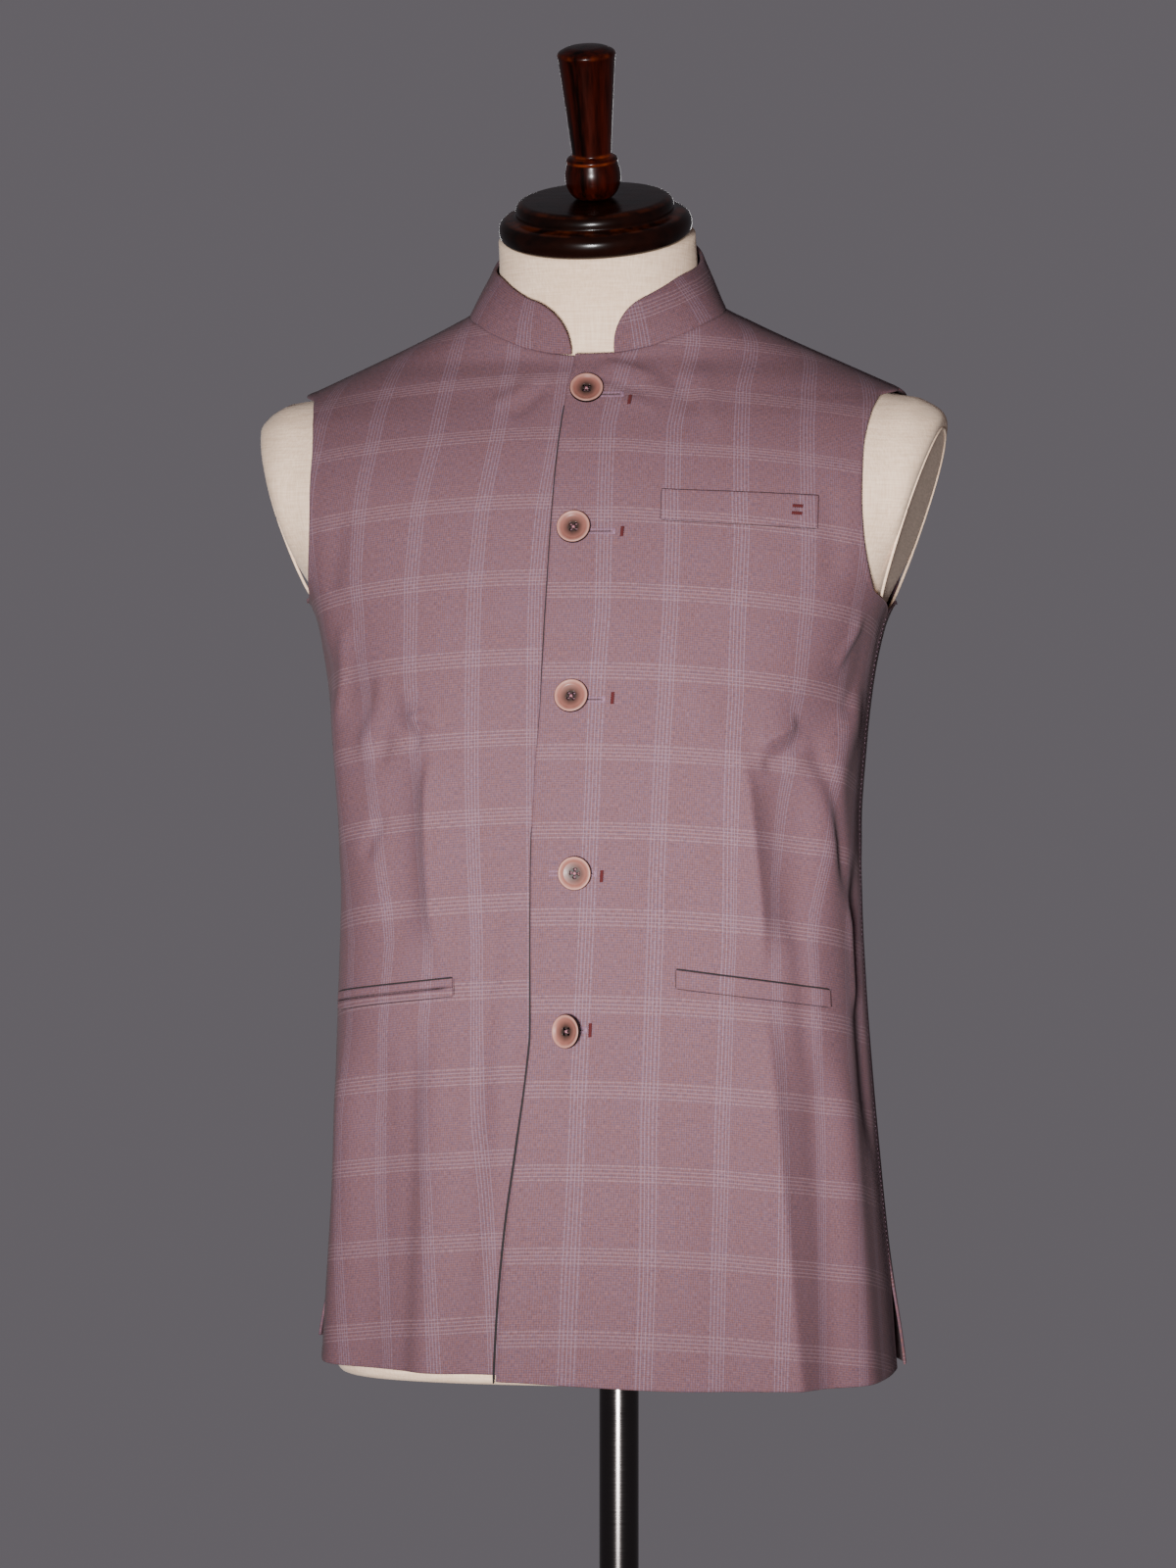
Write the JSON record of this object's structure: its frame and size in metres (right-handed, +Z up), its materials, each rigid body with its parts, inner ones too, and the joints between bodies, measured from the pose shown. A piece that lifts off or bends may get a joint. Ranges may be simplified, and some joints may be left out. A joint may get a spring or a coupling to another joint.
{
  "type": "band-collar suit waistcoat on dress form",
  "caption": "Sleeveless band-collar waistcoat buttoned down the front, with welt pockets and side vents, worn by a limbless tailor's form on a pole with a round foot.",
  "frame": {"origin": "centre of the foot's underside, on the floor", "axes": "+Z up; the wearer faces -Y; +X is the wearer's left"},
  "size_m": [0.4334, 0.34, 1.4667],
  "materials": {
    "suiting": "matte",
    "linen": "matte",
    "button": "gloss",
    "wood": "gloss lacquer",
    "steel": "polished"
  },
  "bodies": {
    "root": {"front_left": "suiting", "front_right": "suiting", "back": "suiting", "collar": "suiting", "chest_welt": "suiting", "hip_welt_left": "suiting", "hip_welt_right": "suiting", "button_1": "button", "button_2": "button", "button_3": "button", "button_4": "button", "button_5": "button", "form_torso": "linen", "neck_cap": "wood", "cap_handle": "wood", "stand_flange": "steel", "stand_pole": "steel", "stand_foot": "steel"}
  },
  "joints": []
}
